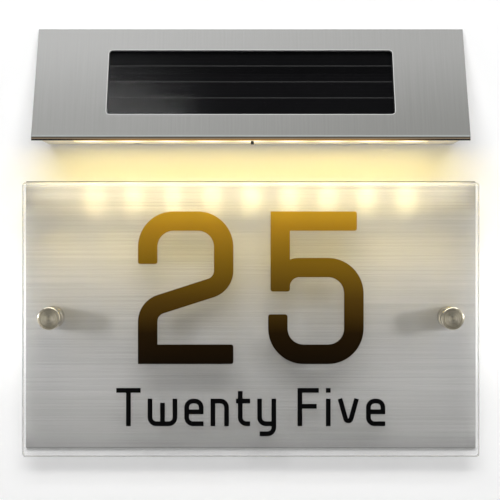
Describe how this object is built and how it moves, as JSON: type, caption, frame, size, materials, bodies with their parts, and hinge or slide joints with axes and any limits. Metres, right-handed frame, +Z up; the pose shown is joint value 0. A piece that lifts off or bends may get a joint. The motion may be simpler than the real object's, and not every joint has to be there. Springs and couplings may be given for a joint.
{
  "type": "house number plaque",
  "caption": "Wall plaque with large digits on a clear panel held off a brushed plate by standoffs, lit by a hooded solar lamp above it with an underside slide switch.",
  "frame": {"origin": "on the wall plane, halfway between the two standoff axes", "axes": "+X to the right as seen from the front, +Y into the wall, +Z up"},
  "size_m": [0.3, 0.0385, 0.283],
  "materials": {
    "brushed_plate": "horizontal grain",
    "brushed_hood": "fine horizontal grain",
    "clear_panel": "clear acrylic with polished edges",
    "turned_steel": "turned",
    "washer": "soft clear ring",
    "digit": "satin, gold at the top to near black at the foot",
    "lettering": "flat black",
    "gasket": "black foam",
    "solar_glass": "polished",
    "solar_cell": "near black cells",
    "solar_board": "black board",
    "contact": "plain",
    "case": "fine moulded grain",
    "zinc_plate": "zinc plated",
    "screw": "bright zinc",
    "battery": "printed sleeve",
    "board": "white solder mask",
    "chip": "moulded",
    "led": "warm white lamp",
    "lens": "frosted",
    "switch": "moulded",
    "lever": "moulded"
  },
  "bodies": {
    "plaque": {"back_plate": "brushed_plate", "back_washer_left": "washer", "back_washer_right": "washer", "battery_contacts": "contact", "battery_door": "case", "battery_left": "battery", "battery_right": "battery", "board_parts": "chip", "board_screws": "screw", "case": "case", "circuit_board": "board", "digit_five": "digit", "digit_two": "digit", "door_screws": "screw", "front_panel": "clear_panel", "front_washer_left": "washer", "front_washer_right": "washer", "hood": "brushed_hood", "hood_nuts": "screw", "led_lens": "lens", "leds": "led", "lock_screws": "screw", "number_words": "lettering", "panel_gasket": "gasket", "solar_board": "solar_board", "solar_cells": "solar_cell", "solar_glass": "solar_glass", "solar_pins": "contact", "standoff_barrel_left": "turned_steel", "standoff_barrel_right": "turned_steel", "standoff_cap_left": "turned_steel", "standoff_cap_right": "turned_steel", "switch_body": "switch", "wall_plate": "zinc_plate"},
    "switch": {"switch_lever": "lever"}
  },
  "joints": [
    {"name": "switch_slide", "type": "slide", "parent": "plaque", "child": "switch", "axis": [1, 0, 0], "range_m": [-0.002, 0]}
  ]
}
